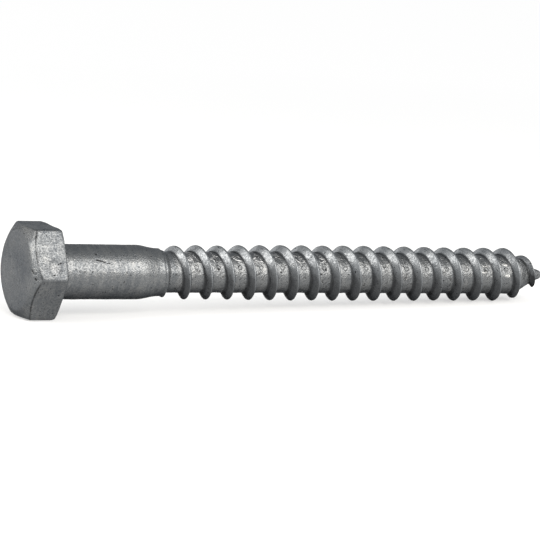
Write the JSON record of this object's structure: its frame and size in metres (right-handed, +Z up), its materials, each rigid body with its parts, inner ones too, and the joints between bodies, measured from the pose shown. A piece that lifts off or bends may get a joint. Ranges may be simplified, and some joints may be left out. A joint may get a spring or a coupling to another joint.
{
  "type": "lag screw",
  "caption": "Hex-head lag screw for timber: hexagon head, plain shank, coarse right-hand wood thread and gimlet point, in hot-dip galvanised steel.",
  "frame": {"origin": "centre of the head's bearing face, on the screw's axis", "axes": "+X runs horizontally from the head towards the point, +Y is to the left seen from the head, and +Z is up. The screw lies at rest on one edge of its head and on a crest near the point, so its own axis dips from +X by about 1.9 degrees"},
  "size_m": [0.128, 0.0218, 0.0192],
  "materials": {
    "galvanised_steel": "hot-dip galvanised, matte mottled grey"
  },
  "bodies": {
    "root": {"lag_screw": "galvanised_steel"}
  },
  "joints": []
}
